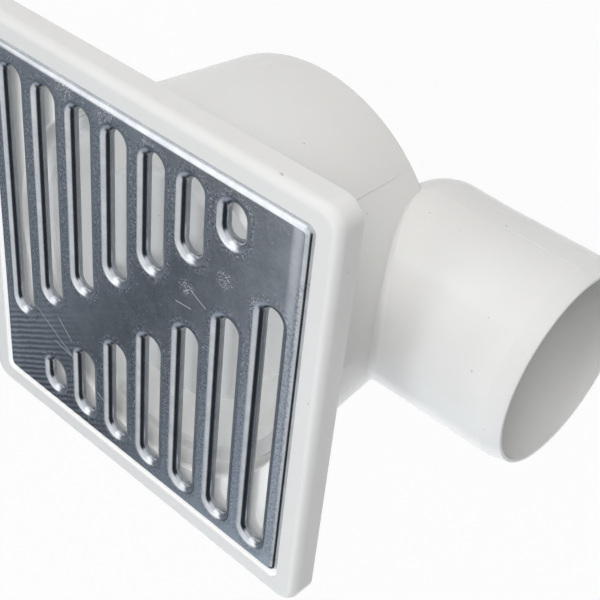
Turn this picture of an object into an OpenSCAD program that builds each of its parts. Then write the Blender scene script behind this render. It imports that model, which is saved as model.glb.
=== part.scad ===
// Floor gully trap with a side outlet.
// Z = 0 is the top face of the frame, level with the finished floor, and +Z points up.
// The origin lies on the axis of the round vessel, and the outlet runs along +X.

/* [Frame] */
// Side of the square frame
frame_side = 108; // [106:1:130]
// Height of the frame's outer skirt
frame_depth = 6.5; // [6:0.5:10]
// Radius of the frame's upright corners
frame_corner_r = 5; // [3:0.5:8]
// Radius along the frame's top edge
frame_edge_r = 2; // [0.5:0.25:2.5]
// Depth of the pocket that takes the grate
pocket_depth = 4.5; // [4:0.25:5]
// Bevel along the pocket's top edge
pocket_bevel = 0.4; // [0.2:0.1:0.8]
// Wall left on each side of the groove that cores the rim from below
rim_wall = 1.8; // [1.5:0.1:2.2]

/* [Grate] */
// Side of the pressed grate
grate_side = 95.6; // [94:0.2:99]
// Gap between the grate and the pocket, on each side
grate_gap = 0.5; // [0.3:0.1:1]
// How far the grate lies below the frame's top face
grate_drop = 0.1; // [0:0.1:0.5]
// Thickness of the stainless sheet
sheet = 0.65; // [0.5:0.05:0.8]
// Outside radius of the grate's upright corners
grate_corner_r = 2.2; // [2:0.1:4]
// Outside radius where the grate's edges are bent down
grate_bend_r = 1.6; // [1:0.1:1.8]

/* [Slots] */
// Number of slot columns
columns = 8; // [4:1:8]
// Distance between slot columns
slot_pitch = 11.38; // [10.5:0.1:11.5]
// Width of the opening left in a slot
slot_hole = 4.8; // [4:0.2:5.6]
// Outside radius of the rolled lip round a slot
lip_r = 2.1; // [1.4:0.1:2.2]
// Angle that the rolled lip turns down
lip_angle = 85; // [50:5:85]
// Length of the straight cone below the rolled lip
lip_straight = 0.3; // [0.2:0.1:0.8]
// Length of the shortest slot, over its rolled lip
shortest_slot = 12.3; // [11:0.1:14]
// How much each slot is longer than the one beside it
slot_growth = 9.7; // [6:0.1:10]
// Distance from the grate's middle to the outer end of each slot
slot_reach = 44.5; // [42:0.1:45]

/* [Vessel] */
// Outside radius of the vessel just under the frame
vessel_top_r = 45.3; // [45:0.1:47]
// Outside radius of the vessel at its floor
vessel_low_r = 41.4; // [41:0.1:43]
// Depth of the vessel's underside below the frame's top face
vessel_depth = 56.2; // [54:0.5:62]
// Wall of the vessel
vessel_wall = 2.5; // [2:0.1:2.8]
// Thickness of the vessel's floor
floor_wall = 2.2; // [2:0.1:3]
// Radius along the vessel's bottom edge
vessel_edge_r = 1.2; // [0.5:0.1:2]
// Wall left round the step that carries the trap cup
step_wall = 1.9; // [1.6:0.1:2.2]
// Width of that step
step_ledge = 1.5; // [1.3:0.1:1.8]
// How much wider than the step the funnel is where it leaves the pocket's floor
funnel_flare = 1.6; // [1:0.1:1.9]
// Depth of the step below the frame's top face
step_depth = 11.5; // [10.5:0.5:13]

/* [Outlet] */
// Outside diameter of the outlet spigot
outlet_d = 50; // [40:1:54]
// Wall of the outlet spigot
outlet_wall = 1.8; // [1.5:0.1:2.5]
// Depth of the outlet's axis below the frame's top face
outlet_axis_depth = 57.2; // [54:0.5:64]
// Distance from the vessel's axis to the spigot's free end
outlet_reach = 76.8; // [70:0.5:110]
// Length of the lead-in taper at the spigot's free end
lead_length = 4.4; // [2:0.2:6]
// How much the lead-in taper takes off the outside radius
lead_cut = 1.1; // [0.5:0.1:1.3]
// Distance from the vessel's axis to the closed inner end of the outlet
outlet_back = 25; // [22:0.5:28]
// Radius of the rounding at that closed end
back_r = 11; // [8:0.5:14]
// Distance from the vessel's axis to where the spigot's even, round wall begins
spigot_start = 46; // [45.5:0.5:50]
// How much wider the outlet has grown where its closed end's rounding begins
root_gain = 0.4; // [0.3:0.1:0.6]

/* [Trap cup] */
// Gap round the trap cup's flange
flange_gap = 0.3; // [0.2:0.1:0.4]
// Thickness of the trap cup's flange
flange_t = 1.5; // [1.2:0.1:2]
// Gap between the cup's side and the vessel, just below the step
cup_gap = 0.5; // [0.3:0.1:1]
// Gap between the cup's foot and the vessel
cup_foot_gap = 0.8; // [0.5:0.1:1.5]
// Bevel along the inside of the cup's mouth
cup_bevel = 0.8; // [0.4:0.1:1.2]
// Depth of the cup's floor below the frame's top face
cup_depth = 42.5; // [41:0.5:44]
// Wall of the trap cup
cup_wall = 1.6; // [1.2:0.1:1.7]
// Outside radius of the riser pipe in the cup's middle
riser_r = 18; // [15:0.5:20]
// Depth of the riser's top, which sets the standing water level
riser_depth = 20; // [18:0.5:22]

/* [Seal] */
// Width of the rubber ring under the cup's flange
seal_width = 1.1; // [0.9:0.1:1.2]
// Thickness of the rubber ring
seal_t = 1; // [0.6:0.1:1.4]

/* [Bell] */
// Outside radius of the bell at its closed top
bell_r = 29; // [27:0.5:31]
// Outward draft of the bell's side from top to rim
bell_draft = 0.8; // [0:0.1:1.5]
// Depth of the bell's top below the frame's top face
bell_top_depth = 12; // [9:0.5:13]
// Depth of the bell's rim below the frame's top face
bell_rim_depth = 38.5; // [34:0.5:39.5]
// Wall of the bell
bell_wall = 1.8; // [1.5:0.1:2.5]
// Radius along the bell's top edge
bell_edge_r = 1.6; // [0.5:0.1:1.7]
// Number of fins that centre the bell on the riser
fins = 4; // [3:1:4]
// Thickness of a fin
fin_t = 1.6; // [1.2:0.1:2.5]
// Gap between the fins and the riser's side
fin_gap = 0.3; // [0.3:0.1:0.8]
// How far the fins reach in over the riser's rim
fin_bite = 2.5; // [1:0.5:4]
// How far the fins reach down the riser's side
fin_drop = 10; // [4:1:14]

/* [Hidden] */
$fn = 72;
// Overshoot that lets a cut pass clear through a face
over = 1;

pocket_side = grate_side + 2 * grate_gap;
// The pocket's corners are tighter than the grate's, so that the grate always drops in
pocket_corner_r = grate_corner_r - grate_gap;

// The vessel's outside narrows evenly from the frame down to its floor
vessel_slope = (vessel_top_r - vessel_low_r) / (vessel_depth - frame_depth);
vessel_angle = atan(vessel_slope);
function vessel_outer_r(z) = vessel_top_r + (z + frame_depth) * vessel_slope;
step_z = -step_depth;
floor_z = floor_wall - vessel_depth;
step_r = vessel_outer_r(step_z) - step_wall;
step_inner_r = step_r - step_ledge;
funnel_r = step_r + funnel_flare;

// Below the step the vessel's inside narrows evenly down to its floor
inner_low_r = vessel_outer_r(floor_z) - vessel_wall;
inner_slope = (step_inner_r - inner_low_r) / (step_z - floor_z);
function vessel_inner_r(z) = inner_low_r + (z - floor_z) * inner_slope;

outlet_r = outlet_d / 2;
outlet_bore_r = outlet_r - outlet_wall;

// The rubber ring lies on the step, and the cup's flange on the ring
flange_r = step_r - flange_gap;
flange_low_z = step_z + seal_t;
cup_top_z = flange_low_z + flange_t;
cup_floor_z = -cup_depth;
cup_base_z = cup_floor_z - cup_wall;
// The cup's side follows the vessel's inside, a gap and a wall further in
cup_inner_r = step_inner_r - cup_gap - cup_wall;
cup_floor_r = vessel_inner_r(cup_base_z) - cup_foot_gap - cup_wall;
cup_mouth_r = cup_inner_r + cup_bevel;
riser_z = -riser_depth;
riser_bore_r = riser_r - cup_wall;

bell_top_z = -bell_top_depth;
bell_rim_z = -bell_rim_depth;
bell_roof_z = bell_top_z - bell_wall;
// The bell's side leans out evenly from its top to its rim
function bell_outer_r(z) = bell_r + bell_draft * (bell_top_z - z) / (bell_top_z - bell_rim_z);

// Half width of a slot over its lip: half the opening, the straight cone and the roll
slot_lip_r = slot_hole / 2 + lip_straight * cos(lip_angle) + lip_r * sin(lip_angle);
function column_x(i) = (i - (columns - 1) / 2) * slot_pitch;

// Sweeps an edge profile round a square with rounded corners.
// The profile's x runs outward from the corner's centre, and its y is the height.
module swept_square(side, corner_r, low, high) {
    span = side - 2 * corner_r;
    for (turn = [0:90:270]) rotate(turn) translate([span / 2, span / 2, 0]) {
        rotate_extrude(angle = 90) children();
        rotate([90, 0, 0]) linear_extrude(span) children();
    }
    translate([-span / 2, -span / 2, low]) cube([span, span, high - low]);
}

// Straight-walled square block with rounded corners
module square_block(side, corner_r, low, high) {
    swept_square(side, corner_r, low, high)
        translate([0, low]) square([corner_r, high - low]);
}

// Edge profile of a block whose top outer edge is rounded
module round_top_profile(width, low, high, edge_r) {
    difference() {
        translate([0, low]) square([width, high - low]);
        translate([width - edge_r, high - edge_r]) difference() {
            square(edge_r + over);
            circle(edge_r);
        }
    }
}

// ---- Body: frame, vessel and outlet, moulded in one piece ----

module frame_block() {
    swept_square(frame_side, frame_corner_r, -frame_depth, 0)
        round_top_profile(frame_corner_r, -frame_depth, 0, frame_edge_r);
}

module grate_pocket() {
    square_block(pocket_side, pocket_corner_r, -pocket_depth, over);
    // Bevel along the pocket's top edge
    swept_square(pocket_side, pocket_corner_r, -pocket_bevel, over)
        polygon([
            [0, -pocket_bevel],
            [pocket_corner_r, -pocket_bevel],
            [pocket_corner_r + pocket_bevel, 0],
            [pocket_corner_r + pocket_bevel, over],
            [0, over]
        ]);
}

// Groove that cores the thick rim from below
module rim_groove() {
    low = -frame_depth - over;
    high = -rim_wall;
    difference() {
        square_block(frame_side - 2 * rim_wall, frame_corner_r - rim_wall, low, high);
        square_block(pocket_side + 2 * rim_wall, pocket_corner_r + rim_wall, low - over, high + over);
    }
}

module vessel_block() {
    // The bottom edge is an arc that touches both the side and the floor
    edge_z = vessel_edge_r - vessel_depth;
    edge_x = vessel_outer_r(edge_z) - vessel_edge_r / cos(vessel_angle);
    side_x = edge_x + vessel_edge_r * cos(vessel_angle);
    side_z = edge_z - vessel_edge_r * sin(vessel_angle);
    root_z = -(pocket_depth + frame_depth) / 2;
    rotate_extrude() {
        polygon([
            [0, -vessel_depth],
            [edge_x, -vessel_depth],
            [edge_x, edge_z],
            [side_x, side_z],
            [vessel_outer_r(root_z), root_z],
            [0, root_z]
        ]);
        intersection() {
            translate([edge_x, edge_z]) circle(vessel_edge_r);
            translate([edge_x - over, -vessel_depth]) square([vessel_edge_r + over, vessel_edge_r]);
        }
    }
}

// Funnel, step for the trap cup, and the tapered inside down to the floor
module vessel_space() {
    rotate_extrude() polygon([
        [0, floor_z],
        [inner_low_r, floor_z],
        [step_inner_r, step_z],
        [step_r, step_z],
        [step_r, cup_top_z],
        [funnel_r, -pocket_depth],
        [funnel_r, over - pocket_depth],
        [0, over - pocket_depth]
    ]);
}

// Turns a profile about the outlet's axis: the profile's y runs along +X
module about_outlet() {
    translate([0, 0, -outlet_axis_depth]) rotate([90, 0, 90]) rotate_extrude() children();
}

// Outline of the outlet's closed end, rounded by end_r
module closed_end(r, back, end_r) {
    translate([0, back]) square([r - end_r, end_r]);
    intersection() {
        translate([r - end_r, back + end_r]) circle(end_r);
        translate([r - end_r, back]) square(end_r);
    }
}

module outlet_block() {
    root_x = outlet_back + back_r;
    root_r = outlet_r + root_gain;
    about_outlet() {
        closed_end(root_r, outlet_back, back_r);
        // The root narrows to the even spigot, which ends in the lead-in taper
        polygon([
            [0, root_x],
            [root_r, root_x],
            [outlet_r, spigot_start],
            [outlet_r, outlet_reach - lead_length],
            [outlet_r - lead_cut, outlet_reach],
            [0, outlet_reach]
        ]);
    }
}

module outlet_space() {
    end_r = back_r - outlet_wall;
    about_outlet() {
        closed_end(outlet_bore_r, outlet_back + outlet_wall, end_r);
        translate([0, outlet_back + outlet_wall + end_r])
            square([outlet_bore_r, outlet_reach + over - outlet_back - outlet_wall - end_r]);
    }
}

module body() {
    color([0.93, 0.94, 0.94]) difference() {
        union() {
            frame_block();
            vessel_block();
            outlet_block();
        }
        grate_pocket();
        rim_groove();
        vessel_space();
        outlet_space();
    }
}

// ---- Trap cup: flange, water trough and riser in one moulding ----

module trap_cup() {
    color([0.92, 0.93, 0.93]) rotate_extrude() polygon([
        // Outside, from the riser's foot to the flange's top
        [riser_bore_r, cup_base_z],
        [cup_floor_r + cup_wall, cup_base_z],
        [cup_inner_r + cup_wall, flange_low_z],
        [flange_r, flange_low_z],
        [flange_r, cup_top_z],
        // Inside, down into the trough and up to the riser's rim
        [cup_mouth_r, cup_top_z],
        [cup_inner_r, cup_top_z - cup_bevel],
        [cup_floor_r, cup_floor_z],
        [riser_r, cup_floor_z],
        [riser_r, riser_z],
        [riser_bore_r, riser_z]
    ]);
}

// ---- Seal: flat rubber ring between the body's step and the cup's flange ----

module cup_seal() {
    color([0.16, 0.16, 0.17]) translate([0, 0, step_z]) difference() {
        cylinder(h = seal_t, r = flange_r);
        translate([0, 0, -over]) cylinder(h = seal_t + 2 * over, r = flange_r - seal_width);
    }
}

// ---- Bell: stands on the riser and dips into the trough's water ----

module bell_shell() {
    rotate_extrude() difference() {
        polygon([
            [0, bell_rim_z],
            [bell_outer_r(bell_rim_z), bell_rim_z],
            [bell_r, bell_top_z],
            [0, bell_top_z]
        ]);
        translate([bell_r - bell_edge_r, bell_top_z - bell_edge_r]) difference() {
            square(bell_edge_r + over);
            circle(bell_edge_r);
        }
        polygon([
            [0, bell_rim_z - over],
            [bell_outer_r(bell_rim_z - over) - bell_wall, bell_rim_z - over],
            [bell_outer_r(bell_roof_z) - bell_wall, bell_roof_z],
            [0, bell_roof_z]
        ]);
    }
}

// One fin: its notch stands on the riser's rim, and its leg runs down the riser's side.
// Its outer edge and its top are rooted halfway into the bell's wall.
module bell_fin() {
    reach_in = riser_r - fin_bite;
    leg_in = riser_r + fin_gap;
    low_z = riser_z - fin_drop;
    top_z = bell_roof_z + bell_wall / 2;
    rotate([90, 0, 0]) translate([0, 0, -fin_t / 2]) linear_extrude(fin_t) polygon([
        [reach_in, riser_z],
        [leg_in, riser_z],
        [leg_in, low_z],
        [bell_outer_r(low_z) - bell_wall / 2, low_z],
        [bell_outer_r(top_z) - bell_wall / 2, top_z],
        [reach_in, top_z]
    ]);
}

module bell() {
    color([0.95, 0.95, 0.94]) {
        bell_shell();
        for (i = [0:fins - 1]) rotate(45 + i * 360 / fins) bell_fin();
    }
}

// ---- Grate: one stainless sheet, its edges bent down and its slots pressed and punched ----

// Solid inside the folded sheet's outer face or, one thickness in, inside its inner face
module pan_block(inset, low) {
    high = -grate_drop - inset;
    swept_square(grate_side - 2 * inset, grate_corner_r - inset, low, high)
        round_top_profile(grate_corner_r - inset, low, high, grate_bend_r - inset);
}

// Visits each slot with its length in $slot_length. The slots of one half grow from right
// to left along a straight row of ends, and the other half is the same turned half round.
module at_each_slot() {
    for (turn = [0, 180], i = [0:columns - 2])
        let ($slot_length = shortest_slot + i * slot_growth)
            rotate(turn)
                translate([column_x(columns - 2 - i), slot_reach - $slot_length / 2, -grate_drop])
                    children();
}

// Opening cut in the flat sheet, out to where the lip's roll begins
module slot_blank() {
    straight = $slot_length - 2 * slot_lip_r;
    translate([-slot_lip_r, -straight / 2, -sheet - over])
        cube([2 * slot_lip_r, straight, sheet + 2 * over]);
    for (side = [-1, 1]) translate([0, side * straight / 2, -sheet - over])
        cylinder(h = sheet + 2 * over, r = slot_lip_r);
}

// Section of the lip, out from the slot's centre line and down from the sheet's top face
module lip_section() {
    translate([slot_lip_r, -lip_r]) {
        // The roll, an arc about a point straight below its outer edge
        intersection() {
            difference() {
                circle(lip_r);
                circle(lip_r - sheet);
            }
            polygon([[0, 0], [0, 2 * lip_r], [-2 * lip_r * tan(lip_angle), 2 * lip_r]]);
        }
        // The straight cone, down to the punched edge
        rotate(lip_angle) translate([-lip_straight, lip_r - sheet]) square([lip_straight, sheet]);
    }
}

// The lip all round one slot: a half turn at each end, joined by straight sides
module slot_lip() {
    straight = $slot_length - 2 * slot_lip_r;
    for (turn = [0, 180]) rotate(turn) translate([0, straight / 2, 0]) {
        rotate_extrude(angle = 180) lip_section();
        rotate([90, 0, 0]) linear_extrude(straight) lip_section();
    }
}

module grate() {
    color([0.42, 0.45, 0.47]) {
        difference() {
            pan_block(0, -pocket_depth);
            pan_block(sheet, -pocket_depth - over);
            at_each_slot() slot_blank();
        }
        at_each_slot() slot_lip();
    }
}

body();
trap_cup();
cup_seal();
bell();
grate();
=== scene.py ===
"""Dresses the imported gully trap: moulded white plastic, a pressed stainless grate and soft studio light."""

import math

import bmesh
import bpy
from mathutils import Matrix, Vector


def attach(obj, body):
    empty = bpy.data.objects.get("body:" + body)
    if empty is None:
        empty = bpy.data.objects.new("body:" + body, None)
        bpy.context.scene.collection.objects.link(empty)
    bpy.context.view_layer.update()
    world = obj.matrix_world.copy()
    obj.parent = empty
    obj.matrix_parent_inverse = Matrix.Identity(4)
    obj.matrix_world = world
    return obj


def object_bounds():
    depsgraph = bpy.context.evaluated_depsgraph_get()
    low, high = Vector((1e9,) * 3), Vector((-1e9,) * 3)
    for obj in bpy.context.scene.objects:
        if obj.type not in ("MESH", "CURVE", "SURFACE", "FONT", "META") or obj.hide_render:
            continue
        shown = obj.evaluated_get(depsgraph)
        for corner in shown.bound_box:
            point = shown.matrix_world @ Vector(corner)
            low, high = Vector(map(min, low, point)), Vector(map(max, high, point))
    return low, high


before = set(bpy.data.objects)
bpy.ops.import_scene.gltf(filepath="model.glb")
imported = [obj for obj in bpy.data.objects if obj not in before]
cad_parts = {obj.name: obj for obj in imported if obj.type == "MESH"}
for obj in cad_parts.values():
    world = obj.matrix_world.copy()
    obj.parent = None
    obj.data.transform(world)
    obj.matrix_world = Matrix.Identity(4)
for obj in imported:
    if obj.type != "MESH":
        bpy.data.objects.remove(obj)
cad_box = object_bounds()

MM = 0.001

# ---- Camera: it looks down its own -Z, so LOOK_BACK points from the part to the eye ----
LENS = 73.79
SENSOR = 36.0
EYE = Vector((158.23, 172.97, 139.47)) * MM
LOOK_BACK = Vector((0.48925, 0.62158, 0.61178))
LOOK_UP = Vector((-0.47323, 0.77842, -0.41245))

# ---- Light: direction towards the lamp, distance, size and power ----
SKY_FILL = 0.20
LAMP_COOL = (0.92, 0.96, 1.0)
LAMP_WARM = (1.0, 0.98, 0.955)
LAMPS = {
    "overhead_key": (Vector((0.10, -0.10, 1.00)), 900 * MM, 250 * MM, 2.1, LAMP_COOL),
    "window_side": (Vector((0.45, 0.62, 0.64)), 900 * MM, 320 * MM, 2.3, LAMP_WARM),
    "low_front": (Vector((0.02, -0.95, 0.31)), 900 * MM, 600 * MM, 5.6, LAMP_COOL),
    "low_back": (Vector((0.00, 0.95, 0.30)), 900 * MM, 600 * MM, 3.4, LAMP_WARM),
}

# ---- Floor: a middling grey for the light it gives back, white to the camera and to shine ----
FLOOR_SIZE = 3.0
FLOOR_GAP = 0.2 * MM
FLOOR_GREY = (0.45, 0.45, 0.45, 1)
FLOOR_ROUGHNESS = 0.9
FLOOR_SEEN_WHITE = 0.96

# ---- What shine shows of the studio: pale above and towards +Y, and a dark side towards -Y ----
OVERHEAD_TILT = (0.25, 0.10, 0.96)
DARK_END_TILT = (-0.9, 0.0, 1.0)
EDGE_LIGHT = (-0.489, 0.84, 0.233)
STUDIO_PALE = (0.95, 0.96, 0.98, 1)
STUDIO_BRIGHT = (1.85, 1.85, 1.85, 1)
STUDIO_TOP = (1.25, 1.27, 1.29, 1)
STUDIO_WALL = (0.42, 0.44, 0.47, 1)
STUDIO_LOW = (0.13, 0.135, 0.145, 1)
STUDIO_DIM = (0.88, 1.0, 1.15, 1)
STUDIO_BLACK = (0.028, 0.034, 0.042, 1)

# ---- A low glow in place of daylight through the thin white walls, and where it sets in ----
ROOM_GLOW = 0.11
SEAT_GLOW = 0.18
GAP_GLOW = 0.45
WALL_SKIN = (0.6 * MM, 1.6 * MM)
ROOM_FOOT = (-46 * MM, -40 * MM)
ROOM_HEAD = (-9 * MM, -5 * MM)
GRATE_SIDE = (47.0 * MM, 47.6 * MM)
POCKET_SIDE = (49.0 * MM, 49.5 * MM)
POCKET_FOOT = (-6 * MM, -5 * MM)
POCKET_HEAD = (-0.5 * MM, -0.1 * MM)

# ---- Colours ----
PLASTIC_WHITE = (0.84, 0.845, 0.84, 1)
PLASTIC_WARM = (0.80, 0.79, 0.765, 1)
# The inner pieces get a whiter copy of the plastic: painted light, brighter than the body's white, standing
# in for the light inside the vessel
INNER_LIT_WHITE = (0.93, 0.935, 0.935, 1)
INNER_LIT_WARM = (0.91, 0.91, 0.90, 1)
DUST_GREY = (0.35, 0.34, 0.32, 1)
STEEL_PALE = (0.62, 0.635, 0.65, 1)
STEEL_DULL = (0.50, 0.52, 0.54, 1)
STEEL_DARK = (0.36, 0.38, 0.41, 1)
STEEL_BRIGHT = (0.56, 0.58, 0.61, 1)
STEEL_BARE = (0.85, 0.86, 0.87, 1)
# Light and dark bands painted over the roll marks: a painted reflection of their ripples
RIPPLE_PAINTED_DARK = (0.50, 0.52, 0.55, 1)
RIPPLE_PAINTED_SHINE = (1.35, 1.35, 1.35, 1)
RUBBER_BLACK = (0.022, 0.022, 0.024, 1)

# ---- Slots in the grate, in millimetres, as in its source ----
SLOT_PITCH = 11.38
SLOT_LIP_R = 4.518
SLOT_REACH = 44.5
SHORTEST_SLOT = 12.3
SLOT_GROWTH = 9.7
LAST_COLUMN = 7
LIP_BLEND = 0.3
DRAWN_WIDTH = 2.2
EDGE_BEND_START = 43.0
EDGE_BEND_WIDTH = 3.2

# ---- Marks on the grate, in millimetres ----
ROLL_MARK_ACROSS = (-0.519, 0.855, 0)
ROLL_MARK_ALONG = (0.855, 0.519, 0)
ROLL_MARK_PITCH = 1.47
SCRATCH_CORE = 0.04
SCRATCH_EDGE = 0.14
SCRATCHES = (
    ((-36.5, -19.3, 0), (-0.4, -40.4, 0)),
    ((-28.2, -27.0, 0), (-21.5, -28.0, 0)),
    ((-26.5, -18.6, 0), (-21.7, -23.1, 0)),
    ((13.6, 11.0, 0), (18.1, 11.4, 0)),
    ((17.9, 16.2, 0), (22.4, 14.0, 0)),
)
# Small patches where the sheet is flecked bright and rough: centre and radius
FLECK_SPREAD = 1.3
FLECK_PATCHES = (
    ((27.2, 24.4, 0), 2.6),
    ((16.5, 16.2, 0), 2.4),
    ((35.8, 23.2, 0), 2.2),
    ((-21.5, 45.2, 0), 3.4),
    ((-8.5, 45.0, 0), 3.6),
    ((4.4, 43.8, 0), 2.6),
)

# ---- Seams of the moulding, in millimetres, as in the source ----
FRAME_DEPTH = 6.5
VESSEL_TOP_R = 45.3
VESSEL_LOW_R = 41.4
VESSEL_DEPTH = 56.2
VESSEL_SLOPE = (VESSEL_TOP_R - VESSEL_LOW_R) / (VESSEL_DEPTH - FRAME_DEPTH)
OUTLET_R = 25.0
OUTLET_DEPTH = 57.2
FILLET_R = 1.8
FILLET_THIN_R = 0.25
FILLET_LIFT = 0.05
FILLET_START = 4
FILLET_END = 176
FILLET_FADE = 14
FILLET_STEPS = 72
FILLET_ARC_STEPS = 6
BURIED = 0.8
SEAM_HALF_WIDTH = 0.22
SEAM_HEIGHT = 0.09
SEAM_FOOT = 0.3
VESSEL_SEAM_TURN = 44.5
VESSEL_SEAM_STATIONS = ((-6.8, 0.0), (-46.0, 0.0), (-53.0, -0.1))
OUTLET_SEAM_TURN = -1.8
OUTLET_SEAM_STATIONS = ((53.0, -0.1), (54.5, 0.0), (72.4, 0.0), (76.4, -1.0))
CREASE = math.radians(35)


def link_nodes(tree, *pairs):
    for source, target in pairs:
        tree.links.new(source, target)


def new_material(name):
    """A material with its node tree, its Principled shader and the object's own coordinates."""
    material = bpy.data.materials.new(name)
    material.use_nodes = True
    tree = material.node_tree
    shader = tree.nodes["Principled BSDF"]
    place = tree.nodes.new("ShaderNodeTexCoord").outputs["Object"]
    return material, tree, shader, place


def feed(tree, socket, value):
    """Sets a socket to a number, or links another node's output to it."""
    if isinstance(value, bpy.types.NodeSocket):
        tree.links.new(value, socket)
    else:
        socket.default_value = value


def add_math(tree, operation, *values):
    node = tree.nodes.new("ShaderNodeMath")
    node.operation = operation
    for socket, value in zip(node.inputs, values):
        feed(tree, socket, value)
    return node.outputs["Value"]


def add_axes(tree, vector):
    split = tree.nodes.new("ShaderNodeSeparateXYZ")
    tree.links.new(vector, split.inputs["Vector"])
    return split.outputs["X"], split.outputs["Y"], split.outputs["Z"]


def add_dot(tree, vector, direction):
    """How far a place lies along a direction."""
    dot = tree.nodes.new("ShaderNodeVectorMath")
    dot.operation = "DOT_PRODUCT"
    dot.inputs[1].default_value = direction
    tree.links.new(vector, dot.inputs[0])
    return dot.outputs["Value"]


def add_mapping(tree, vector, turn, scale):
    mapping = tree.nodes.new("ShaderNodeMapping")
    mapping.inputs["Rotation"].default_value = (0, 0, turn)
    mapping.inputs["Scale"].default_value = scale
    tree.links.new(vector, mapping.inputs["Vector"])
    return mapping.outputs["Vector"]


def add_noise(tree, vector, scale, detail=4.0, roughness=0.55):
    noise = tree.nodes.new("ShaderNodeTexNoise")
    noise.inputs["Scale"].default_value = scale
    noise.inputs["Detail"].default_value = detail
    noise.inputs["Roughness"].default_value = roughness
    tree.links.new(vector, noise.inputs["Vector"])
    return noise.outputs["Fac"]


def add_range(tree, value, low, high, to_low, to_high, smooth=False):
    remap = tree.nodes.new("ShaderNodeMapRange")
    if smooth:
        remap.interpolation_type = "SMOOTHSTEP"
    for socket, number in zip(("From Min", "From Max", "To Min", "To Max"), (low, high, to_low, to_high)):
        remap.inputs[socket].default_value = number
    tree.links.new(value, remap.inputs["Value"])
    return remap.outputs["Result"]


def add_mix(tree, factor, first, second):
    mix = tree.nodes.new("ShaderNodeMix")
    mix.data_type = "RGBA"
    feed(tree, mix.inputs["Factor"], factor)
    feed(tree, mix.inputs["A"], first)
    feed(tree, mix.inputs["B"], second)
    return mix.outputs["Result"]


def add_bump(tree, height, distance, strength, normal=None):
    bump = tree.nodes.new("ShaderNodeBump")
    bump.inputs["Strength"].default_value = strength
    bump.inputs["Distance"].default_value = distance
    tree.links.new(height, bump.inputs["Height"])
    if normal is not None:
        tree.links.new(normal, bump.inputs["Normal"])
    return bump.outputs["Normal"]


def plastic_material(name, glow, white, warm):
    """Glossy moulded plastic with faint flow marks, which lets light through as far as glow says."""
    material, tree, shader, place = new_material(name)
    flow = add_noise(tree, place, 22.0, 3.0)
    tint = add_range(tree, flow, 0.35, 0.7, 0.0, 0.4)
    cloud = add_noise(tree, place, 240.0, 2.0)
    rough = add_range(tree, cloud, 0.3, 0.7, 0.21, 0.27)
    draw_marks = add_noise(tree, add_mapping(tree, place, 0.0, (1.0, 1.0, 0.12)), 130.0, 2.0)
    ripple = add_bump(tree, draw_marks, 0.02 * MM, 0.2)
    peel = add_bump(tree, cloud, 0.008 * MM, 0.3, ripple)
    dust = add_range(tree, add_noise(tree, place, 900.0, 0.0), 0.86, 0.90, 0.0, 0.5)
    clean = add_mix(tree, tint, white, warm)
    shader.inputs["IOR"].default_value = 1.49
    shader.inputs["Subsurface Weight"].default_value = glow
    shader.inputs["Subsurface Radius"].default_value = (3.5, 3.3, 3.0)
    shader.inputs["Subsurface Scale"].default_value = 1 * MM
    link_nodes(
        tree,
        (add_mix(tree, dust, clean, DUST_GREY), shader.inputs["Base Color"]),
        (rough, shader.inputs["Roughness"]),
        (peel, shader.inputs["Normal"]),
    )
    return material


def light_inside(material):
    """A low glow, in place of daylight through the thin white walls, for the room in the vessel,
    the grate's seat and the gap round the grate. The outer faces get none."""
    tree = material.node_tree
    shader = tree.nodes["Principled BSDF"]
    x, y, z = add_axes(tree, tree.nodes["Texture Coordinate"].outputs["Object"])
    squares = add_math(tree, "ADD", add_math(tree, "MULTIPLY", x, x), add_math(tree, "MULTIPLY", y, y))
    wall = add_math(tree, "MULTIPLY_ADD", z, VESSEL_SLOPE, VESSEL_TOP_R * MM)
    depth = add_math(tree, "SUBTRACT", wall, add_math(tree, "SQRT", squares))
    inside = add_range(tree, depth, *WALL_SKIN, 0.0, ROOM_GLOW)
    room_foot = add_range(tree, z, *ROOM_FOOT, 0.0, 1.0)
    room_head = add_range(tree, z, *ROOM_HEAD, 1.0, 0.0)
    room = add_math(tree, "MULTIPLY", inside, add_math(tree, "MULTIPLY", room_foot, room_head))

    side = add_math(tree, "MAXIMUM", add_math(tree, "ABSOLUTE", x), add_math(tree, "ABSOLUTE", y))
    seat = add_range(tree, side, *GRATE_SIDE, SEAT_GLOW, GAP_GLOW)
    within = add_math(tree, "MULTIPLY", seat, add_range(tree, side, *POCKET_SIDE, 1.0, 0.0))
    pocket_foot = add_range(tree, z, *POCKET_FOOT, 0.0, 1.0)
    pocket_head = add_range(tree, z, *POCKET_HEAD, 1.0, 0.0)
    pocket = add_math(tree, "MULTIPLY", within, add_math(tree, "MULTIPLY", pocket_foot, pocket_head))

    shader.inputs["Emission Color"].default_value = INNER_LIT_WHITE
    tree.links.new(add_math(tree, "MAXIMUM", room, pocket), shader.inputs["Emission Strength"])
    return material


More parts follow.
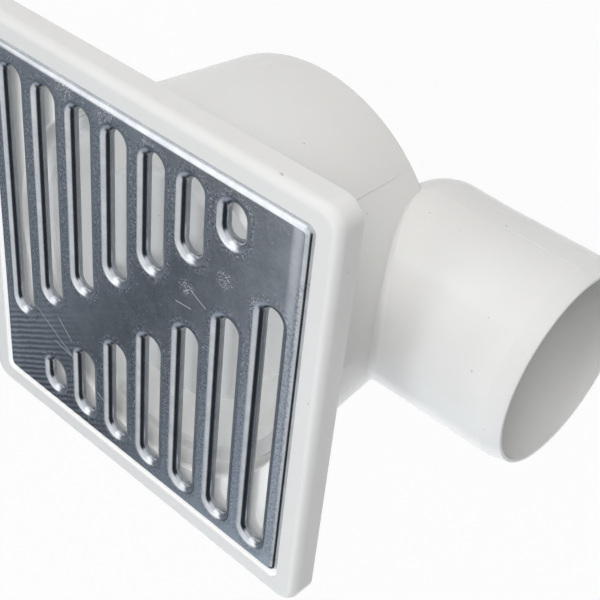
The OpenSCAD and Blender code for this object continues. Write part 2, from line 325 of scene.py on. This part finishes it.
def slot_distance(tree, x, y):
    """Distance in millimetres from the middle line of the nearest slot that starts at the +Y edge."""
    pitches = add_math(tree, "DIVIDE", x, SLOT_PITCH)
    column = add_math(tree, "FLOOR", add_math(tree, "ADD", pitches, LAST_COLUMN / 2 + 0.5))
    middle = add_math(tree, "MULTIPLY", add_math(tree, "SUBTRACT", column, LAST_COLUMN / 2), SLOT_PITCH)
    across = add_math(tree, "SUBTRACT", x, middle)
    top = SLOT_REACH - SLOT_LIP_R
    longest = SHORTEST_SLOT + SLOT_GROWTH * (LAST_COLUMN - 1)
    low = add_math(tree, "MULTIPLY_ADD", column, SLOT_GROWTH, SLOT_REACH - longest + SLOT_LIP_R)
    below = add_math(tree, "MAXIMUM", add_math(tree, "SUBTRACT", low, y), 0.0)
    above = add_math(tree, "MAXIMUM", add_math(tree, "SUBTRACT", y, top), 0.0)
    beyond = add_math(tree, "MAXIMUM", below, above)
    across_squared = add_math(tree, "MULTIPLY", across, across)
    beyond_squared = add_math(tree, "MULTIPLY", beyond, beyond)
    reach = add_math(tree, "SQRT", add_math(tree, "ADD", across_squared, beyond_squared))
    # A column too short for a slot is put far away
    missing = add_math(tree, "MAXIMUM", add_math(tree, "SUBTRACT", low, top), 0.0)
    return add_math(tree, "ADD", reach, add_math(tree, "MULTIPLY", missing, 10.0))


def add_scratch(tree, place, start, end):
    """Strong along a thin line between two points, and nothing elsewhere."""
    start, end = Vector(start), Vector(end)
    along = (end - start).normalized()
    across = along.cross(Vector((0, 0, 1)))
    sideways = add_math(tree, "SUBTRACT", add_dot(tree, place, across), start.dot(across))
    offset = add_math(tree, "ABSOLUTE", sideways)
    travel = add_math(tree, "SUBTRACT", add_dot(tree, place, along), start.dot(along))
    beyond = add_math(tree, "SUBTRACT", travel, (end - start).length)
    before = add_math(tree, "MULTIPLY", travel, -1.0)
    off_end = add_math(tree, "MAXIMUM", add_math(tree, "MAXIMUM", beyond, before), 0.0)
    return add_range(tree, add_math(tree, "ADD", offset, off_end), SCRATCH_CORE, SCRATCH_EDGE, 0.7, 0.0)


def add_fleck_patch(tree, place, centre, radius):
    """How thickly a small patch of the sheet is flecked bright and rough, from its centre outwards."""
    reach = tree.nodes.new("ShaderNodeVectorMath")
    reach.operation = "DISTANCE"
    reach.inputs[1].default_value = centre
    tree.links.new(place, reach.inputs[0])
    return add_range(tree, reach.outputs["Value"], 0.0, radius * FLECK_SPREAD, 1.0, 0.0, smooth=True)


def add_most(tree, values):
    """The largest of several values."""
    most = values[0]
    for value in values[1:]:
        most = add_math(tree, "MAXIMUM", most, value)
    return most


def roll_marks(tree, place, wobble):
    """Fine waves left by the rolls in the corner towards -X and -Y: the wave and its strength."""
    travel = add_math(tree, "MULTIPLY_ADD", wobble, 0.9, add_dot(tree, place, ROLL_MARK_ACROSS))
    wave = add_math(tree, "SINE", add_math(tree, "MULTIPLY", travel, math.tau / ROLL_MARK_PITCH))
    along = add_dot(tree, place, ROLL_MARK_ALONG)
    fade = add_range(tree, along, -52.0, -20.0, 1.0, 0.0, smooth=True)
    start = add_range(tree, travel, -3.0, 5.0, 1.0, 0.0, smooth=True)
    return wave, add_math(tree, "MULTIPLY", fade, start)


def steel_material():
    """Rolled stainless: clear and dark on the flats, drawn and mottled round the pressed slots, with light
    and dark bands painted over the roll marks as a painted reflection.
    """
    material, tree, shader, place = new_material("rolled_stainless")
    scaled = add_mapping(tree, place, 0.0, (1 / MM, 1 / MM, 1 / MM))
    x, y, z = add_axes(tree, scaled)
    turned_x, turned_y = (add_math(tree, "MULTIPLY", axis, -1.0) for axis in (x, y))
    near = add_math(tree, "MINIMUM", slot_distance(tree, x, y), slot_distance(tree, turned_x, turned_y))
    lip_end = SLOT_LIP_R + LIP_BLEND
    off_lip = add_range(tree, near, SLOT_LIP_R - LIP_BLEND, lip_end, 0.0, 1.0)
    pulled = add_range(tree, near, lip_end, SLOT_LIP_R + DRAWN_WIDTH, 1.0, 0.0, smooth=True)
    drawn = add_math(tree, "MULTIPLY", off_lip, pulled)
    cloud = add_noise(tree, place, 170.0, 5.0, 0.65)
    grit = add_noise(tree, place, 1500.0, 3.0, 0.6)
    clear = add_mix(tree, add_range(tree, cloud, 0.35, 0.65, 0.0, 1.0), STEEL_DULL, STEEL_PALE)
    mottled = add_mix(tree, add_range(tree, grit, 0.42, 0.58, 0.0, 1.0), STEEL_DARK, STEEL_BRIGHT)
    skin = add_mix(tree, drawn, clear, mottled)

    wave, strength = roll_marks(tree, scaled, cloud)
    rolled = add_math(tree, "MULTIPLY", add_math(tree, "MULTIPLY", wave, strength), off_lip)
    # The waves are painted into the colour as light and dark bands, a painted reflection; the bump below
    # gives them real ripples too
    ridge = add_range(tree, rolled, -1.0, 1.0, 0.0, 1.0)
    painted_ripple_shine = add_mix(tree, ridge, RIPPLE_PAINTED_DARK, RIPPLE_PAINTED_SHINE)
    banded = tree.nodes.new("ShaderNodeMix")
    banded.data_type = "RGBA"
    banded.blend_type = "MULTIPLY"
    banded.inputs["Factor"].default_value = 1.0
    link_nodes(tree, (skin, banded.inputs["A"]), (painted_ripple_shine, banded.inputs["B"]))

    scratches = add_most(tree, [add_scratch(tree, scaled, *ends) for ends in SCRATCHES])
    streak_places = add_mapping(tree, place, math.radians(38), (500.0, 9000.0, 1.0))
    streaks = add_range(tree, add_noise(tree, streak_places, 1.0, 1.0), 0.74, 0.82, 0.0, 0.4)
    patches = add_most(tree, [add_fleck_patch(tree, scaled, *patch) for patch in FLECK_PATCHES])
    flecks = add_range(tree, add_noise(tree, place, 3600.0, 1.0), 0.58, 0.68, 0.0, 1.0)
    pits = add_range(tree, add_noise(tree, place, 2100.0, 2.0), 0.60, 0.68, 0.0, 0.36)
    patch_flecks = add_math(tree, "MULTIPLY", flecks, patches)
    drawn_pits = add_math(tree, "MULTIPLY", pits, drawn)
    marks = add_math(tree, "MULTIPLY", add_most(tree, [scratches, streaks, patch_flecks, drawn_pits]), off_lip)

    fine = add_range(tree, grit, 0.3, 0.7, 0.17, 0.22)
    walls = add_range(tree, z, -1.9, -1.4, 0.35, 0.0)
    drawn_rough = add_math(tree, "ADD", add_math(tree, "MULTIPLY_ADD", drawn, 0.03, fine), walls)
    rough = add_math(tree, "MULTIPLY_ADD", marks, 0.35, drawn_rough)
    side = add_math(tree, "ABSOLUTE", x)
    bend_end = EDGE_BEND_START + EDGE_BEND_WIDTH
    bend = add_range(tree, side, EDGE_BEND_START, bend_end, 1.0, 0.0, smooth=True)
    bent = add_bump(tree, bend, 0.12 * MM, 1.0)
    rippled = add_bump(tree, rolled, 0.009 * MM, 1.0, bent)
    grained = add_bump(tree, add_math(tree, "MULTIPLY", grit, drawn), 0.012 * MM, 0.8, rippled)
    marked_normal = add_bump(tree, marks, 0.02 * MM, 0.8, grained)
    shader.inputs["Metallic"].default_value = 1.0
    link_nodes(
        tree,
        (add_mix(tree, marks, banded.outputs["Result"], STEEL_BARE), shader.inputs["Base Color"]),
        (rough, shader.inputs["Roughness"]),
        (marked_normal, shader.inputs["Normal"]),
    )
    return material


def rubber_material():
    """Matt black rubber with a fine grain."""
    material, tree, shader, place = new_material("seal_rubber")
    grain = add_noise(tree, place, 700.0)
    shader.inputs["Base Color"].default_value = RUBBER_BLACK
    link_nodes(
        tree,
        (add_range(tree, grain, 0.3, 0.7, 0.55, 0.75), shader.inputs["Roughness"]),
        (add_bump(tree, grain, 0.05 * MM, 0.4), shader.inputs["Normal"]),
    )
    return material


def vessel_r(z):
    """Outer radius of the tapered vessel at a height."""
    return VESSEL_TOP_R + (z + FRAME_DEPTH) * VESSEL_SLOPE


def fillet_loop(turn):
    """Section of the fillet where the outlet leaves the vessel. Its arc touches both walls,
    and its back is buried in them. The fillet thins out to nothing where the vessel ends."""
    lean = math.atan(VESSEL_SLOPE)
    fade = min(turn - FILLET_START, FILLET_END - turn, FILLET_FADE) / FILLET_FADE
    radius = FILLET_THIN_R + (FILLET_R - FILLET_THIN_R) * fade
    turn = math.radians(turn)
    y = (OUTLET_R + FILLET_LIFT + radius) * math.cos(turn)
    z = (OUTLET_R + FILLET_LIFT + radius) * math.sin(turn) - OUTLET_DEPTH
    reach = vessel_r(z) + radius / math.cos(lean) - FILLET_LIFT
    centre = Vector((math.sqrt(reach**2 - y**2), y, z))
    to_outlet = Vector((0, -math.cos(turn), -math.sin(turn)))
    to_vessel = Vector((-centre.x, -centre.y, reach * math.tan(lean))).normalized()
    arc = [
        centre + to_outlet.slerp(to_vessel, step / FILLET_ARC_STEPS) * radius
        for step in range(FILLET_ARC_STEPS + 1)
    ]
    half = to_outlet.angle(to_vessel) / 2
    corner = centre + (to_outlet + to_vessel).normalized() * (radius + BURIED) / math.cos(half)
    return arc + [arc[-1] + to_vessel * BURIED, corner, arc[0] + to_outlet * BURIED]


def seam_loop(place, outward, along):
    """Section of a parting line: a low ridge with its foot sunk in the wall."""
    across = outward.cross(along).normalized()
    half = ((1, -SEAM_FOOT), (1, 0.0), (0.4, SEAM_HEIGHT))
    shape = [(-side, height) for side, height in half] + list(reversed(half))
    return [place + across * side * SEAM_HALF_WIDTH + outward * height for side, height in shape]


def make_loft(name, loops, material):
    """A closed piece through a row of sections. It belongs to the body."""
    mesh = bmesh.new()
    rings = []
    for loop in loops:
        corners = [mesh.verts.new(corner * MM) for corner in loop]
        rings.append([mesh.edges.new(pair) for pair in zip(corners, corners[1:] + corners[:1])])
    for ring, following in zip(rings, rings[1:]):
        bmesh.ops.bridge_loops(mesh, edges=ring + following)
    for ring in (rings[0], rings[-1]):
        bmesh.ops.contextual_create(mesh, geom=ring)
    bmesh.ops.recalc_face_normals(mesh, faces=mesh.faces)
    for face in mesh.faces:
        face.smooth = True
    for edge in mesh.edges:
        edge.smooth = edge.calc_face_angle(0.0) < CREASE
    data = bpy.data.meshes.new(name)
    mesh.to_mesh(data)
    mesh.free()
    data.materials.append(material)
    piece = bpy.data.objects.new(name, data)
    bpy.context.scene.collection.objects.link(piece)
    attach(piece, "root")


def make_seams(material):
    """The soft fillet at the outlet's root, and the moulding's parting lines."""
    sweep = FILLET_END - FILLET_START
    turns = [FILLET_START + sweep * step / FILLET_STEPS for step in range(FILLET_STEPS + 1)]
    make_loft("outlet_fillet", [fillet_loop(turn) for turn in turns], material)

    turn = math.radians(VESSEL_SEAM_TURN)
    across = Vector((math.cos(turn), math.sin(turn), 0))
    outward = (across - Vector((0, 0, VESSEL_SLOPE))).normalized()
    along = (across * VESSEL_SLOPE + Vector((0, 0, 1))).normalized()
    loops = [
        seam_loop(across * vessel_r(z) + Vector((0, 0, z)) + outward * lift, outward, along)
        for z, lift in VESSEL_SEAM_STATIONS
    ]
    make_loft("vessel_seam", loops, material)

    turn = math.radians(OUTLET_SEAM_TURN)
    outward = Vector((0, math.cos(turn), math.sin(turn)))
    loops = [
        seam_loop(Vector((x, 0, -OUTLET_DEPTH)) + outward * (OUTLET_R + lift), outward, Vector((1, 0, 0)))
        for x, lift in OUTLET_SEAM_STATIONS
    ]
    make_loft("outlet_seam", loops, material)


def dress(node, material):
    """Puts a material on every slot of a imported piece."""
    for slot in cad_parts[node].material_slots:
        slot.material = material


def make_camera():
    data = bpy.data.cameras.new("camera")
    data.lens = LENS
    data.sensor_width = SENSOR
    data.clip_start = 10 * MM
    data.clip_end = 50.0
    camera = bpy.data.objects.new("camera", data)
    bpy.context.scene.collection.objects.link(camera)
    back = LOOK_BACK.normalized()
    right = LOOK_UP.cross(back).normalized()
    up = back.cross(right)
    turn = Matrix((right, up, back)).transposed().to_4x4()
    camera.matrix_world = Matrix.Translation(EYE) @ turn
    bpy.context.scene.camera = camera


def make_floor():
    """A pale floor at the part's lowest point. It shows white to the camera and keeps a soft shadow."""
    mesh = bmesh.new()
    bmesh.ops.create_grid(mesh, x_segments=1, y_segments=1, size=FLOOR_SIZE)
    bmesh.ops.translate(mesh, verts=mesh.verts, vec=(0, 0, cad_box[0][2] - FLOOR_GAP))
    data = bpy.data.meshes.new("floor")
    mesh.to_mesh(data)
    mesh.free()
    floor = bpy.data.objects.new("floor", data)
    bpy.context.scene.collection.objects.link(floor)
    material, tree, shader, _ = new_material("pale_floor")
    shader.inputs["Base Color"].default_value = FLOOR_GREY
    shader.inputs["Roughness"].default_value = FLOOR_ROUGHNESS
    glow = tree.nodes.new("ShaderNodeEmission")
    blend = tree.nodes.new("ShaderNodeMixShader")
    paths = tree.nodes.new("ShaderNodeLightPath")
    seen = add_math(tree, "MAXIMUM", paths.outputs["Is Camera Ray"], paths.outputs["Is Glossy Ray"])
    link_nodes(
        tree,
        (add_math(tree, "MULTIPLY", seen, FLOOR_SEEN_WHITE), blend.inputs["Fac"]),
        (shader.outputs["BSDF"], blend.inputs[1]),
        (glow.outputs["Emission"], blend.inputs[2]),
        (blend.outputs["Shader"], tree.nodes["Material Output"].inputs["Surface"]),
    )
    data.materials.append(material)


def studio_dark(tree, x, z):
    """The dark side: nearly black, with two dimly lit stretches, and a grey foot."""
    left = add_range(tree, x, -0.61, -0.585, 0.24, 0.0, smooth=True)
    right = add_range(tree, x, -0.575, -0.42, 0.0, 0.54)
    dim = add_mix(tree, add_math(tree, "MAXIMUM", left, right), STUDIO_BLACK, STUDIO_DIM)
    far = add_range(tree, x, -0.32, 0.0, 0.0, 1.0, smooth=True)
    foot = add_range(tree, z, 0.05, 0.30, 1.0, 0.0, smooth=True)
    return add_mix(tree, foot, add_mix(tree, far, dim, STUDIO_BLACK), STUDIO_LOW)


def studio_light(tree, place, x, y, z):
    """The pale side: brighter high up towards -X, with a plain ceiling and, low down, a grey wall
    that stays pale where the grate's +Y edge mirrors it."""
    high = add_range(tree, z, 0.40, 0.65, 0.0, 1.0, smooth=True)
    end_side = add_range(tree, x, -0.30, -0.05, 1.0, 0.0, smooth=True)
    near_y = add_range(tree, y, -0.55, -0.30, 0.0, 1.0, smooth=True)
    bright = add_math(tree, "MULTIPLY", add_math(tree, "MULTIPLY", near_y, end_side), high)
    boxed = add_mix(tree, bright, STUDIO_PALE, STUDIO_BRIGHT)
    top = add_range(tree, z, 0.86, 0.96, 0.0, 1.0, smooth=True)
    wall = add_range(tree, z, 0.30, 0.50, 1.0, 0.0, smooth=True)
    beside = add_range(tree, add_dot(tree, place, EDGE_LIGHT), 0.93, 0.98, 1.0, 0.0, smooth=True)
    grey = add_math(tree, "MULTIPLY", wall, beside)
    return add_mix(tree, grey, add_mix(tree, top, boxed, STUDIO_TOP), STUDIO_WALL)


def make_world():
    """White to the camera, an even fill for dull surfaces, and a studio with a dark side for shine."""
    world = bpy.data.worlds.new("studio")
    world.use_nodes = True
    bpy.context.scene.world = world
    tree = world.node_tree
    place = tree.nodes.new("ShaderNodeTexCoord").outputs["Object"]
    x, y, z = add_axes(tree, place)
    above = add_range(tree, add_dot(tree, place, OVERHEAD_TILT), 0.42, 0.51, 0.0, 1.0, smooth=True)
    clear = add_range(tree, add_dot(tree, place, DARK_END_TILT), 0.28, 0.48, 0.0, 1.0, smooth=True)
    towards_y = add_range(tree, y, -0.15, 0.40, 0.0, 1.0, smooth=True)
    pale = add_math(tree, "MAXIMUM", add_math(tree, "MULTIPLY", above, clear), towards_y)
    mirrored = add_mix(tree, pale, studio_dark(tree, x, z), studio_light(tree, place, x, y, z))

    paths = tree.nodes.new("ShaderNodeLightPath")
    shown = add_math(tree, "MAXIMUM", paths.outputs["Is Camera Ray"], paths.outputs["Is Transmission Ray"])
    plain = add_range(tree, shown, 0, 1, SKY_FILL, 1.0)
    colour = add_mix(tree, paths.outputs["Is Glossy Ray"], plain, mirrored)
    tree.links.new(colour, tree.nodes["Background"].inputs["Color"])


def add_area(name, direction, distance, size, power, colour):
    """A soft lamp. It stays out of the shine, which shows the studio instead."""
    data = bpy.data.lights.new(name, "AREA")
    data.size = size
    data.energy = power
    data.color = colour
    lamp = bpy.data.objects.new(name, data)
    bpy.context.scene.collection.objects.link(lamp)
    back = direction.normalized()
    lamp.location = back * distance
    lamp.rotation_mode = "QUATERNION"
    lamp.rotation_quaternion = back.to_track_quat("Z", "Y")
    lamp.visible_glossy = False


def main():
    bpy.context.scene.view_settings.view_transform = "Standard"
    make_camera()
    make_world()
    make_floor()
    for name, settings in LAMPS.items():
        add_area(name, *settings)
    dress("body", light_inside(plastic_material("moulded_white", 0.25, PLASTIC_WHITE, PLASTIC_WARM)))
    # The bell and the trap cup wear the whiter copy, which paints light onto them
    inner_lit_white = light_inside(plastic_material("inner_lit_white", 0.25, INNER_LIT_WHITE, INNER_LIT_WARM))
    for node in ("trap_cup", "bell"):
        dress(node, inner_lit_white)
    make_seams(plastic_material("seam_white", 0.0, PLASTIC_WHITE, PLASTIC_WARM))
    dress("grate", steel_material())
    dress("cup_seal", rubber_material())


main()
